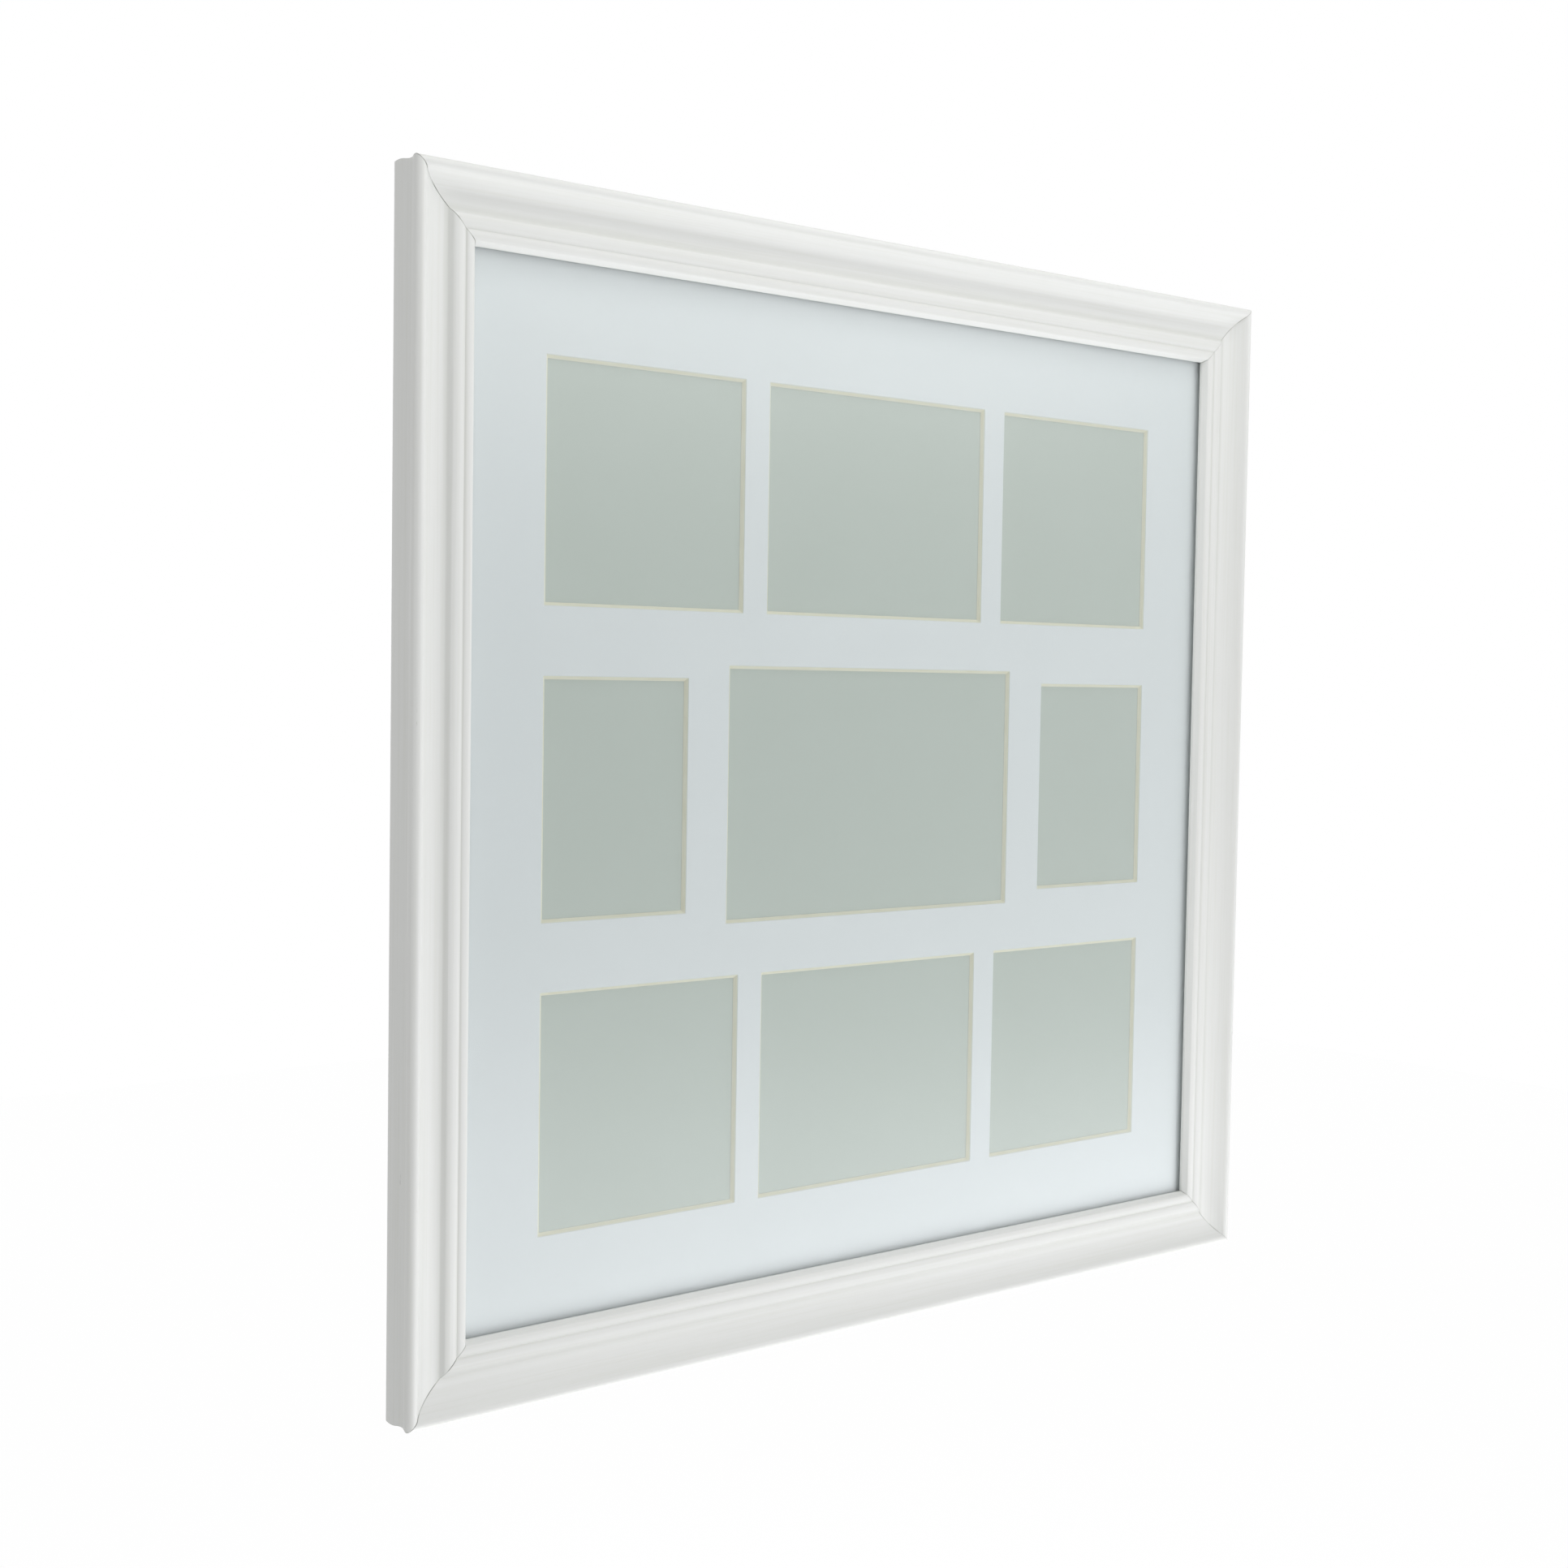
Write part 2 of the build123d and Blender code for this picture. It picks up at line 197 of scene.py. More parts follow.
class Finish:
    """A material with one surface shader, whose plain numbers are set on its own sockets."""

    def __init__(self, name, **plain):
        self.material = bpy.data.materials.new(name)
        self.material.use_nodes = True
        self.tree = self.material.node_tree
        self.surface = self.tree.nodes["Principled BSDF"]
        for socket, value in plain.items():
            self.surface.inputs[socket.replace("_", " ")].default_value = value
        self.place = self.node("ShaderNodeTexCoord").outputs["Object"]

    def node(self, kind, settings=None, inputs=None):
        made = self.tree.nodes.new(kind)
        for setting, value in (settings or {}).items():
            setattr(made, setting, value)
        for name, value in (inputs or {}).items():
            self.feed(made, name, value)
        return made

    def feed(self, node, name, value):
        if isinstance(name, int):
            socket = node.inputs[name]
        else:
            socket = next(one for one in node.inputs if name in (one.identifier, one.name))
        value = value.socket if isinstance(value, Value) else value
        if isinstance(value, bpy.types.NodeSocket):
            self.tree.links.new(value, socket)
        else:
            socket.default_value = value

    def result(self, node, identifier):
        """One output of a node that has several under the same name."""
        return next(one for one in node.outputs if one.identifier == identifier)

    def parts(self, place=None):
        """The three numbers of a place."""
        split = self.node("ShaderNodeSeparateXYZ", None, {0: place or self.place})
        return [Value(self, split.outputs[axis]) for axis in "XYZ"]

    def joined(self, x, y, z):
        return self.node("ShaderNodeCombineXYZ", None, {0: x, 1: y, 2: z}).outputs[0]

    def noise(self, place, detail=3.0, roughness=0.5, seed=0.0):
        """Soft random spots about one unit across, from 0 to 1."""
        inputs = {"Vector": place, "W": seed, "Scale": 1.0, "Detail": detail, "Roughness": roughness}
        found = self.node("ShaderNodeTexNoise", {"noise_dimensions": "4D"}, inputs)
        return Value(self, found.outputs[0])

    def scaled(self, x, y, z, place=None):
        """The place counted in spots of a size along each axis."""
        inputs = {"Vector": place or self.place, "Scale": (1 / x, 1 / y, 1 / z)}
        return self.node("ShaderNodeMapping", None, inputs).outputs["Vector"]

    def mix(self, share, first, second):
        inputs = {"Factor_Float": share, "A_Color": first, "B_Color": second}
        return self.result(self.node("ShaderNodeMix", {"data_type": "RGBA"}, inputs), "Result_Color")

    def relief(self, height, depth):
        """Makes the surface rise by up to a depth where the height is 1."""
        bump = self.node("ShaderNodeBump", None, {"Height": height, "Distance": depth})
        self.feed(self.surface, "Normal", bump.outputs["Normal"])

    def paint(self, **inputs):
        for name, value in inputs.items():
            self.feed(self.surface, name.replace("_", " "), value)


def colour(red, green, blue):
    return (red, green, blue, 1.0)


print("shader helpers ready")

# %% [markdown]
# ## A few words for modelling
# New pieces are drawn in section and then extruded or spun, as a moulding cutter or a lathe would make
# them. The pen draws a section: each straight line is one extruded vertex and each arc is a vertex
# spun about a centre, so a bead stays a true arc. Sharp corners are marked, and get a small round of
# their own before the section is filled.

# %% Drawing helpers
class Pen:
    """Draws a section on a plane, given by its origin and two directions."""

    def __init__(self, origin, across, up, start):
        self.mesh = bmesh.new()
        self.origin, self.across, self.up = Vector(origin), Vector(across), Vector(up)
        self.axis = self.across.cross(self.up)
        self.tip = self.first = self.mesh.verts.new(self.at(*start))
        self.here = start
        self.corners = []

    def at(self, a, b):
        return self.origin + (self.across * a + self.up * b) * mm

    def line(self, a, b):
        self.tip = bmesh.ops.extrude_vert_indiv(self.mesh, verts=[self.tip])["verts"][0]
        self.tip.co = self.at(a, b)
        self.here = (a, b)
        return self

    def corner(self):
        self.corners.append(self.tip)
        return self

    def arc(self, a, b, angle, steps):
        """Turns round the centre (a, b) by an angle in degrees, anticlockwise when it is positive."""
        turned = bmesh.ops.spin(
            self.mesh, geom=[self.tip], cent=self.at(a, b), axis=self.axis, angle=radians(angle),
            steps=steps, use_duplicate=False,
        )
        self.tip = next(part for part in turned["geom_last"] if isinstance(part, bmesh.types.BMVert))
        out, rise = self.here[0] - a, self.here[1] - b
        turn = radians(angle)
        self.here = (a + out * cos(turn) - rise * sin(turn), b + out * sin(turn) + rise * cos(turn))
        return self

    def arc_through(self, middle, end, steps):
        """An arc from the tip through a middle place to its end."""
        (ax, ay), (bx, by), (cx, cy) = self.here, middle, end
        twice = 2 * (ax * (by - cy) + bx * (cy - ay) + cx * (ay - by))
        a2, b2, c2 = ax**2 + ay**2, bx**2 + by**2, cx**2 + cy**2
        x = (a2 * (by - cy) + b2 * (cy - ay) + c2 * (ay - by)) / twice
        y = (a2 * (cx - bx) + b2 * (ax - cx) + c2 * (bx - ax)) / twice
        turn = degrees(atan2(cy - y, cx - x) - atan2(ay - y, ax - x))
        return self.arc(x, y, (turn + 180) % 360 - 180, steps)

    def fill(self, round_off=0.0, segments=2):
        """Closes the section, makes its face and rounds the marked corners."""
        bmesh.ops.contextual_create(self.mesh, geom=[self.tip, self.first])
        bmesh.ops.contextual_create(self.mesh, geom=self.mesh.edges[:])
        if round_off:
            bmesh.ops.bevel(
                self.mesh, geom=self.corners, offset=round_off * mm, affect="VERTICES", segments=segments,
                profile=0.5, material=-1,
            )
        return self.mesh


def thicken(mesh, step):
    """Extrudes every face by a step, which is a vector in mm."""
    grown = bmesh.ops.extrude_face_region(mesh, geom=mesh.faces[:])
    moved = [part for part in grown["geom"] if isinstance(part, bmesh.types.BMVert)]
    bmesh.ops.translate(mesh, verts=moved, vec=Vector(step) * mm)
    bmesh.ops.recalc_face_normals(mesh, faces=mesh.faces[:])
    return mesh


def turn_about_depth(mesh, angle):
    """Turns a mesh by an angle in degrees, clockwise as seen from the front."""
    about_depth = Matrix.Rotation(radians(angle), 3, "Y")
    bmesh.ops.rotate(mesh, verts=mesh.verts[:], cent=(0, 0, 0), matrix=about_depth)


def carved(block, tool, how="DIFFERENCE"):
    """Cuts one closed mesh with another, or joins them, and hands back the result."""
    stand_ins = []
    for part in (block, tool):
        data = bpy.data.meshes.new("block")
        part.to_mesh(data)
        part.free()
        stand_ins.append(bpy.data.objects.new("block", data))
        scene.collection.objects.link(stand_ins[-1])
    cut = stand_ins[0].modifiers.new("cut", "BOOLEAN")
    cut.object, cut.operation, cut.solver = stand_ins[1], how, "EXACT"
    worked = stand_ins[0].evaluated_get(bpy.context.evaluated_depsgraph_get())
    result = bmesh.new()
    result.from_mesh(bpy.data.meshes.new_from_object(worked))
    for stand_in in stand_ins:
        bpy.data.objects.remove(stand_in)
    return result


def joined_meshes(meshes):
    """One mesh that holds copies of several."""
    whole = bmesh.new()
    for part in meshes:
        data = bpy.data.meshes.new("part")
        part.to_mesh(data)
        part.free()
        whole.from_mesh(data)
        bpy.data.meshes.remove(data)
    return whole


print("drawing helpers ready")

# %% [markdown]
# A finished piece gets smooth shading with its sharp edges kept, and a Weighted Normal modifier, which
# keeps the large flats flat where they meet a small round. Stamped or turned fittings also get their
# edges eased by a Bevel modifier. The piece then rides on a body of the construction model, and the
# node it stands for is hidden.

# %% Finishing helper
def finished(mesh, name, body, finish, node, sharp=35.0, eased=0.0):
    """Turns a mesh into a piece that stands for a node of the construction model."""
    data = bpy.data.meshes.new(name)
    mesh.to_mesh(data)
    mesh.free()
    data.polygons.foreach_set("use_smooth", [True] * len(data.polygons))
    data.set_sharp_from_angle(angle=radians(sharp))
    data.materials.append(finish.material)
    piece = bpy.data.objects.new(name, data)
    scene.collection.objects.link(piece)
    if eased:
        edges = piece.modifiers.new("eased_edges", "BEVEL")
        edges.width, edges.segments, edges.limit_method = eased * mm, 2, "ANGLE"
        edges.angle_limit = radians(sharp)
    even = piece.modifiers.new("even_flats", "WEIGHTED_NORMAL")
    even.keep_sharp = True
    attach(piece, body)
    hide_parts(node)
    print(name, "has", len(data.polygons), "faces")


# %% [markdown]
# ## The moulding's paint
# The rails are painted wood in a satin off-white, a little warm. The grain shows faintly through the
# paint as fine streaks along each rail, the paint itself has a slight orange peel, and the groove
# between the beads and the hollow are darker, partly from dust and partly from painted shade. The
# streaks have to run along the rail, so the finish first finds out which rail a place is on: on the
# uprights the distance from the frame's middle is greater across than up. At the mitres it finds the
# distance from the joint in the same way, and draws the fine dark line that a joint keeps under its
# paint, a little stronger at the left, where the joints are more open.

# %% Painted moulding
sight = 194.5
back_face = 7.81
face_width = 26.7
groove_place, hollow_place = 5.0, 11.6
joint_line_core, joint_line_rim = 0.06, 0.26
open_joints_from, close_joints_from = -100.0, 100.0
painted = Finish("painted_moulding", Roughness=0.4, IOR=1.5)
across, depth, upward = painted.parts()
side_reach, top_reach = abs(across), abs(upward)
upright = side_reach.over(top_reach)
from_sight = side_reach.most(top_reach) - sight * mm
lying_place = painted.joined(across, upward, depth)
upright_place = painted.joined(upward, across, depth)
along_rail = painted.node(
    "ShaderNodeMix", {"data_type": "VECTOR"},
    {"Factor_Float": upright, "A_Vector": lying_place, "B_Vector": upright_place},
)
rail_place = painted.result(along_rail, "Result_Vector")
streaks = painted.noise(painted.scaled(0.09, 0.0011, 0.0011, rail_place), 4.0, 0.6)
broad_streaks = painted.noise(painted.scaled(0.22, 0.004, 0.004, rail_place), 2.0, 0.5, seed=3.0)
peel = painted.noise(painted.scaled(0.0014, 0.0014, 0.0014), 2.0, 0.5)
clouds = painted.noise(painted.scaled(0.07, 0.03, 0.07), 2.0, 0.5, seed=5.0)
in_groove = 1.0 - abs(from_sight - groove_place * mm).between(0.1 * mm, 1.0 * mm)
in_hollow = 1.0 - abs(from_sight - hollow_place * mm).between(0.2 * mm, 2.2 * mm)
# Darker in the groove and the hollow: partly dust, partly painted shade of the recesses.
grime_and_painted_shade = (in_groove * 0.5 + in_hollow * 0.55) * broad_streaks.between(0.3, 0.7, 0.6, 1.0)
joint_distance = abs(side_reach - top_reach) * sqrt(0.5)
joint_wear = painted.noise(painted.scaled(0.008, 0.008, 0.006), 2.0, 0.6, seed=11.0)
openness = across.between(open_joints_from * mm, close_joints_from * mm, 1.0, 0.45)
joint_line = 1.0 - joint_distance.between(joint_line_core * mm, joint_line_rim * mm)
joint_line = joint_line * joint_wear.between(0.38, 0.62, 0.15, 0.9) * openness
marks = painted.noise(painted.scaled(0.014, 0.0012, 0.0012, rail_place), 3.0, 0.6, seed=17.0)
rare = painted.noise(painted.scaled(0.06, 0.03, 0.03, rail_place), 1.0, 0.5, seed=23.0)
scuffs = marks.between(0.66, 0.72) * rare.between(0.56, 0.64) * from_sight.between(20.0 * mm, 24.0 * mm)
fresh_paint = painted.mix(clouds, colour(0.757, 0.768, 0.748), colour(0.772, 0.778, 0.765))
streaked = painted.mix(streaks.between(0.42, 0.72, 0.0, 0.35), fresh_paint, colour(0.690, 0.698, 0.650))
# Painted shade and dust in the groove and the hollow.
shaded = painted.mix(grime_and_painted_shade * 0.55, streaked, colour(0.56, 0.575, 0.52))
scuffed = painted.mix(scuffs * 0.8, shaded, colour(0.27, 0.26, 0.21))
jointed = painted.mix(joint_line * 0.85, scuffed, colour(0.16, 0.165, 0.135))
print("paint ready,", len(painted.tree.nodes), "nodes so far")

# %% [markdown]
# The spray doesn't reach the backs of the rails, so the pale bare wood shows where a face looks towards
# the wall. The object's own normal tells that. The lip's back, against the glass, is painted all the
# same, and a little overspray softens the border near the outer edge.

# %% Bare wood at the back
paint_ends, overspray_reach, overspray_blend = face_width + 0.9, 3.0, 0.8
painted_depth = -0.4
facing = painted.parts(painted.node("ShaderNodeTexCoord").outputs["Normal"])[1]
overspray = painted.noise(painted.scaled(0.02, 0.003, 0.003, rail_place), 3.0, 0.6, seed=29.0)
oversprayed = from_sight + overspray * (overspray_reach * mm)
oversprayed = oversprayed.between(paint_ends * mm, (paint_ends + overspray_blend) * mm, 1.0, 0.15)
bare = facing.between(0.5, 0.8) * oversprayed * depth.over(painted_depth * mm)
rings = painted.noise(painted.scaled(0.30, 0.0022, 0.0035, rail_place), 5.0, 0.62, seed=31.0)
pores = painted.noise(painted.scaled(0.012, 0.00045, 0.00045, rail_place), 3.0, 0.6, seed=37.0)
early = painted.mix(rings.between(0.35, 0.65), colour(0.60, 0.47, 0.31), colour(0.70, 0.58, 0.42))
wood = painted.mix(pores.between(0.56, 0.70, 0.0, 0.55), early, colour(0.40, 0.28, 0.16))
painted.paint(
    Base_Color=painted.mix(bare, jointed, wood),
    Roughness=(clouds * 0.08 + 0.34 + scuffs * 0.2 + streaks * 0.05).most(bare * 0.72),
)
paint_height = streaks * 0.5 + peel * 0.22 + broad_streaks * 0.5 - joint_line * 1.2
painted.relief(paint_height - bare * pores * 0.8, 0.05 * mm)
print("painted moulding has", len(painted.tree.nodes), "nodes")

# %% [markdown]
# ## Steel fittings
# The small fittings are plated steel. Zinc is bluish and dull, with a soft mottle from the plating
# drum; nickel is warmer and brighter, with fine scratches. Both come from one recipe with different
# numbers.

# %% Plated steels
def plated_steel(name, bright, dull, smooth, rough, seed):
    """A metal whose tone and gloss vary with a soft mottle and fine scratches."""
    steel = Finish(name, Metallic=1.0, Roughness=0.3)
    drum = steel.noise(steel.scaled(0.0016, 0.0016, 0.0016), 3.0, 0.6, seed=seed)
    scratches = steel.noise(steel.scaled(0.006, 0.0002, 0.0003), 2.0, 0.6, seed=seed + 1.0)
    scratches_across = steel.noise(steel.scaled(0.0003, 0.0002, 0.005), 2.0, 0.6, seed=seed + 2.0)
    scratched = scratches.between(0.60, 0.72).most(scratches_across.between(0.62, 0.74))
    tone = steel.mix(drum.between(0.35, 0.65), colour(*dull), colour(*bright))
    steel.paint(
        Base_Color=steel.mix(scratched * 0.35, tone, colour(*[0.8 * part for part in dull])),
        Roughness=drum.between(0.3, 0.7, smooth, rough) + scratched * 0.12,
    )
    steel.relief(drum * 0.4 - scratched * 0.5, 0.01 * mm)
    return steel


zinc = plated_steel("zinc_steel", (0.66, 0.68, 0.70), (0.56, 0.58, 0.61), 0.26, 0.42, 1.0)
nickel_sheet = plated_steel("nickel_plate", (0.74, 0.72, 0.67), (0.66, 0.64, 0.59), 0.18, 0.30, 5.0)
nickel_rod = plated_steel("nickel_wire", (0.78, 0.76, 0.72), (0.70, 0.68, 0.64), 0.10, 0.20, 9.0)
strip = plated_steel("bright_strip_steel", (0.60, 0.60, 0.61), (0.50, 0.50, 0.50), 0.22, 0.36, 13.0)

# %% [markdown]
# ## The moulding
# One length of moulding is run through a cutter and sawn into four rails. From the sight edge outwards
# its face has a small bevel, two low beads, a step down into a wide hollow, and a rounded crest. The
# outer side has a shallow cove over a soft roll. At the back are the rebate for the picture pack and a
# lower land for the turn buttons. The section is drawn once with the numbers of the construction
# model, with heights counted from the back.

# %% Moulding section
seat, land = 8.3, 1.85
lip_width, wall = 6.5, 5.2
bevel_top = (1.3, seat + 3.85)
inner_crown, groove = (3.15, seat + 4.35), (5.0, seat + 4.0)
outer_crown, ridge = (7.5, seat + 4.7), (10.0, seat + 4.2)
nose_radius, crest = 2.1, seat + 8.9
nose = Vector((face_width - nose_radius, crest - nose_radius))
hollow_bottom, foot_run = Vector((13.0, seat + 3.0)), 1.8
rise, run = nose.y - hollow_bottom.y, nose.x - hollow_bottom.x
hollow_radius = (run**2 + rise**2 - nose_radius**2) / (2 * (rise + nose_radius))
hollow = Vector((hollow_bottom.x, hollow_bottom.y + hollow_radius))
foot = Vector((hollow_bottom.x - foot_run, hollow.y - sqrt(hollow_radius**2 - foot_run**2)))
foot_angle = degrees(atan2(foot.y - hollow.y, foot.x - hollow.x))
meet_angle = degrees(atan2(nose.y - hollow.y, nose.x - hollow.x))
cove_depth, cove_height, roll_height, back_set = 0.65, 10.8, 4.0, 0.25
edge_round = 0.2
uncut_end = sight + face_width + 1.0


def soft_step(pen, drop, inward, steps):
    """Two equal arcs that go down the outer side and end parallel to their start."""
    half_drop, half_in = drop / 2, abs(inward) / 2
    radius = (half_drop**2 + half_in**2) / (2 * half_in)
    turn = degrees(asin(half_drop / radius))
    side = 1 if inward > 0 else -1
    a, b = pen.here
    pen.arc(a - side * radius, b, -side * turn, steps)
    return pen.arc(a - inward + side * radius, b - drop, side * turn, steps)


def moulding_section():
    """The filled section at the left end of the top rail."""
    pen = Pen((-uncut_end * mm, back_face * mm, sight * mm), (0, 0, 1), (0, -1, 0), (0, seat))
    pen.corner().line(0, seat + 1.3).corner().line(*bevel_top).corner()
    pen.arc_through(inner_crown, groove, 10).arc_through(outer_crown, ridge, 12).corner()
    pen.line(*foot).arc(*hollow, meet_angle - foot_angle, 28)
    pen.arc(*nose, -(180 + meet_angle), 20)
    soft_step(pen, nose.y - cove_height, cove_depth, 6)
    soft_step(pen, cove_height - roll_height, -cove_depth, 7)
    roll_radius = (roll_height**2 + back_set**2) / (2 * back_set)
    pen.arc(face_width - roll_radius, roll_height, -degrees(asin(roll_height / roll_radius)), 4).corner()
    pen.line(face_width - wall, 0).corner().line(face_width - wall, land).line(lip_width, land)
    pen.corner().line(lip_width, seat)
    return pen.fill(round_off=edge_round)


sample = moulding_section()
print("section has", len(sample.verts), "corners and", len(sample.faces), "face")
sample.free()

# %% [markdown]
# ## Places at the back
# The fittings sit round the back in turned copies, so one helper gives the pen a plane that faces the
# wall: its first direction runs out from the frame's middle and its second along that side. Steel V
# nails cross each mitre. A nail is a bent strip, drawn as an angle with a rounded bend and driven in
# just below the wood, so the rails need slots for them, and holes for the screws.

# %% V nails and the holes in the rails
sides = {"top": 0, "right": 90, "bottom": 180, "left": 270}
nail_places, nail_leg, nail_strip, nail_depth, nail_sink = (12.0, 18.5), 5.0, 0.5, 7.0, 0.2
nail_bend, slot_spare = 0.35, 0.04
button_out, button_along = 12.5, 115.0
screw_radius, screw_hole_spare, screw_hole_depth = 1.5, 0.05, 7.0
cutter_rise = 0.5


def back_plane(turn, out, along, height):
    """A plane that faces the wall, at a place counted out from the frame's middle."""
    outward = Vector((sin(radians(turn)), 0, cos(radians(turn))))
    onward = Vector((cos(radians(turn)), 0, -sin(radians(turn))))
    origin = (outward * out + onward * along + Vector((0, back_face - height, 0))) * mm
    return origin, outward, onward


def back_pen(turn, out, along, height, start):
    """A pen on such a plane."""
    return Pen(*back_plane(turn, out, along, height), start)


def rod(turn, out, along, height, radius, step, steps=32):
    """A plain rod, for carving."""
    pen = back_pen(turn, out, along, height, (radius, 0))
    disc = pen.arc(0, 0, 360 - 360 / steps, steps - 1).fill()
    return thicken(disc, (0, step, 0))


def v_nail(turn, place, spare, height):
    """A bent strip with its bend towards the frame's corner."""
    long, thick = nail_leg + spare, nail_strip + spare
    pen = back_pen(turn, sight + place, sight + place, height, (spare, spare))
    pen.corner().line(-long, spare).line(-long, -thick).line(-thick, -thick)
    pen.line(-thick, -long).line(spare, -long)
    return thicken(pen.fill(round_off=nail_bend, segments=4), (0, -nail_depth - spare, 0))


nail_level = land + nail_sink
nails = [v_nail(turn, place, 0.0, nail_level) for turn in sides.values() for place in nail_places]
nails = joined_meshes(nails)
finished(nails, "bent_v_nails", "root", strip, "corner_v_nails", eased=0.06)


def rail_cutter():
    """Everything that is cut out of the rails from behind."""
    level = land - cutter_rise
    radius, depth = screw_radius + screw_hole_spare, screw_hole_depth + cutter_rise
    slots = [v_nail(turn, place, slot_spare, level) for turn in sides.values() for place in nail_places]
    holes = [
        rod(turn, sight + button_out, end * button_along, level, radius, -depth)
        for turn in sides.values() for end in (-1, 1)
    ]
    return joined_meshes(slots + holes)


# %% [markdown]
# Each rail is the section extruded, cut at 45 degrees at both ends with Bisect, and closed again. The
# sawn ends get a tiny round: where two rails meet, the two rounds make the fine groove that shows a
# mitre. All four rails come from the top one, turned about the frame's depth.

# %% Rails
mitre_round = 0.16


def mitred_rail(turn):
    """One rail with closed, slightly eased mitres, turned clockwise as seen from the front."""
    rail = thicken(moulding_section(), (2 * uncut_end, 0, 0))
    for end in (-1, 1):
        lean = Vector((end, 0, -1)).normalized()
        cut = bmesh.ops.bisect_plane(
            rail, geom=rail.verts[:] + rail.edges[:] + rail.faces[:], dist=1e-7,
            plane_co=Vector((end * sight, 0, sight)) * mm, plane_no=lean, clear_outer=True,
        )
        rim = [part for part in cut["geom_cut"] if isinstance(part, bmesh.types.BMEdge)]
        cap = bmesh.ops.holes_fill(rail, edges=rim, sides=0)["faces"]
        bmesh.ops.bevel(
            rail, geom=[edge for face in cap for edge in face.edges], offset=mitre_round * mm,
            affect="EDGES", segments=2, profile=0.5, material=-1,
        )
    bmesh.ops.recalc_face_normals(rail, faces=rail.faces[:])
    turn_about_depth(rail, turn)
    return carved(rail, rail_cutter())


for side, turn in sides.items():
    rail, node = mitred_rail(turn), f"rail_{side}"
    finished(rail, f"painted_{node}", "root", painted, node)

# %% [markdown]
# ## The mount
# The mount is card in layers: a thin off-white face paper, a cream core, and a backing paper. The
# windows are cut at 45 degrees, so every layer shows on the bevel. The construction model already has
# that shape, so it only needs a finish that knows how deep a place lies under the card's face. The face
# has a fine paper tooth, and the cut core is a little rougher, with faint lines where the blade ran.

# %% Mount card
mount_front, mount_back = 1.51, 3.01
raggedness, face_layer, face_layer_end, backing_layer = 0.10, 0.10, 0.22, 0.16
card = Finish("mount_card", Roughness=0.62, IOR=1.45)
_, card_depth, _ = card.parts()
under_face = card_depth - mount_front * mm
ragged = card.noise(card.scaled(0.004, 0.0004, 0.004), 3.0, 0.6, seed=2.0)
face_edge = under_face + (ragged - 0.5) * (raggedness * mm)
in_core = face_edge.between(face_layer * mm, face_layer_end * mm)
in_backing = (card_depth - (mount_back - backing_layer) * mm).between(0.0, 0.05 * mm)
tooth = card.noise(card.scaled(0.0007, 0.0007, 0.0007), 3.0, 0.6)
card_clouds = card.noise(card.scaled(0.05, 0.05, 0.05), 2.0, 0.5, seed=7.0)
blade_lines = card.noise(card.scaled(0.010, 0.00022, 0.010), 3.0, 0.6, seed=9.0)
face_paper = card.mix(card_clouds, colour(0.724, 0.760, 0.773), colour(0.740, 0.774, 0.787))
face_paper = card.mix(tooth.between(0.45, 0.75, 0.0, 0.16), face_paper, colour(0.665, 0.707, 0.720))
core = card.mix(blade_lines.between(0.35, 0.7), colour(0.820, 0.810, 0.690), colour(0.760, 0.735, 0.590))
layered = card.mix(in_core, face_paper, core)
layered = card.mix(in_backing, layered, colour(0.58, 0.60, 0.55))
card.paint(Base_Color=layered, Roughness=in_core * 0.2 + 0.60 + tooth * 0.08)
card.relief(tooth * 0.3 + in_core * blade_lines * 0.9, 0.03 * mm)
print("mount card has", len(card.tree.nodes), "nodes")

# %% [markdown]
# ## The insert
# One sheet of plain grey-green paper lies behind all nine windows. It is bare: only the paper's own
# fibres and a very slight unevenness of tone show.

# %% Insert paper
paper = Finish("insert_paper", Roughness=0.5, IOR=1.45)
fibres = paper.noise(paper.scaled(0.0011, 0.0011, 0.0011), 4.0, 0.65, seed=1.0)
paper_clouds = paper.noise(paper.scaled(0.035, 0.035, 0.035), 3.0, 0.5, seed=4.0)
ink = paper.mix(paper_clouds, colour(0.496, 0.548, 0.504), colour(0.514, 0.563, 0.526))
ink = paper.mix(fibres.between(0.5, 0.75, 0.0, 0.3), ink, colour(0.54, 0.585, 0.55))
paper.paint(Base_Color=ink, Roughness=fibres * 0.12 + 0.44)
paper.relief(fibres * 0.4 + paper_clouds * 0.6, 0.02 * mm)
print("insert paper has", len(paper.tree.nodes), "nodes")

# %% [markdown]
# ## The clear front sheet
# A thin clear sheet lets nearly all light through and mirrors a little of the room, more at a slant.
# A full glass shader would keep the soft lamps from the mount behind it, so the finish is a Transparent
# shader mixed with a Glossy one, and Fresnel sets their shares. Fresnel takes the way out of a sheet for
# the way out of water, which would turn it into a mirror from inside, so only the way in gets a share,
# and it is nearly doubled for the two faces. The gloss is a little soft, like that of a rolled sheet.

# %% Clear sheet
sheet_gloss, both_faces = 0.26, 1.8
clear = Finish("clear_sheet")
ripple = clear.noise(clear.scaled(0.06, 0.06, 0.06), 1.0, 0.5)
waviness = clear.node("ShaderNodeBump", None, {"Height": ripple, "Distance": 0.02 * mm}).outputs["Normal"]
see_through = clear.node("ShaderNodeBsdfTransparent", None, {"Color": colour(0.985, 0.995, 0.992)})
mirror_like = clear.node("ShaderNodeBsdfGlossy", None, {"Roughness": sheet_gloss, "Normal": waviness})
slant = Value(clear, clear.node("ShaderNodeFresnel", None, {"IOR": 1.49}).outputs[0])
entering = 1.0 - Value(clear, clear.node("ShaderNodeNewGeometry").outputs["Backfacing"])
clear_mix = clear.node(
    "ShaderNodeMixShader", None,
    {0: slant * entering * both_faces, 1: see_through.outputs[0], 2: mirror_like.outputs[0]},
)
